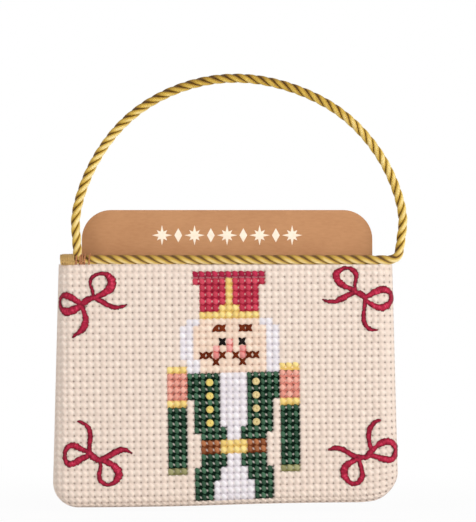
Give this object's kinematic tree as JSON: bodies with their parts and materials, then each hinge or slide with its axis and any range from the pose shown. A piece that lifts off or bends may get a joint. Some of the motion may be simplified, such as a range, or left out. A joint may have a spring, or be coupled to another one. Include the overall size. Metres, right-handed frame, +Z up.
{
  "type": "gift card holder",
  "caption": "Flat cross-stitched canvas pouch with a velvet back and a twisted cord handle, holding a sliding card in its open-topped pocket.",
  "frame": {"origin": "under the middle of the handle's arch, where the pouch hangs on a hook or a finger", "axes": "+Z up, the stitched front faces -Y, +X to the viewer's right"},
  "size_m": [0.1043, 0.0104, 0.1275],
  "materials": {
    "canvas": "woven cotton needlepoint canvas, cream",
    "lining": "plain woven cotton lining, cream",
    "velvet": "short-pile cotton velvet, deep red",
    "gold_cord": "twisted rayon cord, old gold, with a soft lustre",
    "binding_thread": "wound cotton thread, tan",
    "tack_thread": "cotton sewing thread, reddish brown",
    "seam_thread": "cotton sewing thread, cream",
    "crimson_thread": "satin-stitched cotton thread, crimson",
    "kraft_card": "uncoated kraft card, brown, fine fibre flecks",
    "cream_thread": "cross-stitched cotton thread, cream",
    "face_thread": "cross-stitched cotton thread, face",
    "white_thread": "cross-stitched cotton thread, white",
    "red_thread": "cross-stitched cotton thread, red",
    "dark_red_thread": "cross-stitched cotton thread, dark red",
    "green_thread": "cross-stitched cotton thread, green",
    "salmon_thread": "cross-stitched cotton thread, salmon",
    "gold_thread": "cross-stitched cotton thread, gold",
    "olive_thread": "cross-stitched cotton thread, olive",
    "rust_thread": "cross-stitched cotton thread, rust",
    "brown_thread": "cross-stitched cotton thread, brown",
    "pink_thread": "cross-stitched cotton thread, pink",
    "black_thread": "cross-stitched cotton thread, black"
  },
  "bodies": {
    "handle": {"handle_cord": "gold_cord"},
    "pouch": {"front_canvas": "canvas", "front_lining": "lining", "back_panel": "velvet", "back_lining": "lining", "edge_cord": "gold_cord", "cord_end_binding": "binding_thread", "cord_tack_thread": "tack_thread", "side_seam_thread": "seam_thread", "cream_stitches": "cream_thread", "face_stitches": "face_thread", "white_stitches": "white_thread", "red_stitches": "red_thread", "dark_red_stitches": "dark_red_thread", "green_stitches": "green_thread", "salmon_stitches": "salmon_thread", "gold_stitches": "gold_thread", "olive_stitches": "olive_thread", "rust_stitches": "rust_thread", "brown_stitches": "brown_thread", "pink_stitches": "pink_thread", "black_stitches": "black_thread", "bow_top_left": "crimson_thread", "bow_top_right": "crimson_thread", "bow_bottom_left": "crimson_thread", "bow_bottom_right": "crimson_thread"},
    "card": {"gift_card": "kraft_card"}
  },
  "joints": [
    {"name": "pouch_swing", "type": "hinge", "parent": "handle", "child": "pouch", "pos_m": [0, 0, -0.048], "axis": [-1, 0, 0], "range_deg": [0, 90]},
    {"name": "card_slide", "type": "slide", "parent": "pouch", "child": "card", "axis": [0, 0, 1], "range_m": [-0.0275, 0.043]}
  ]
}
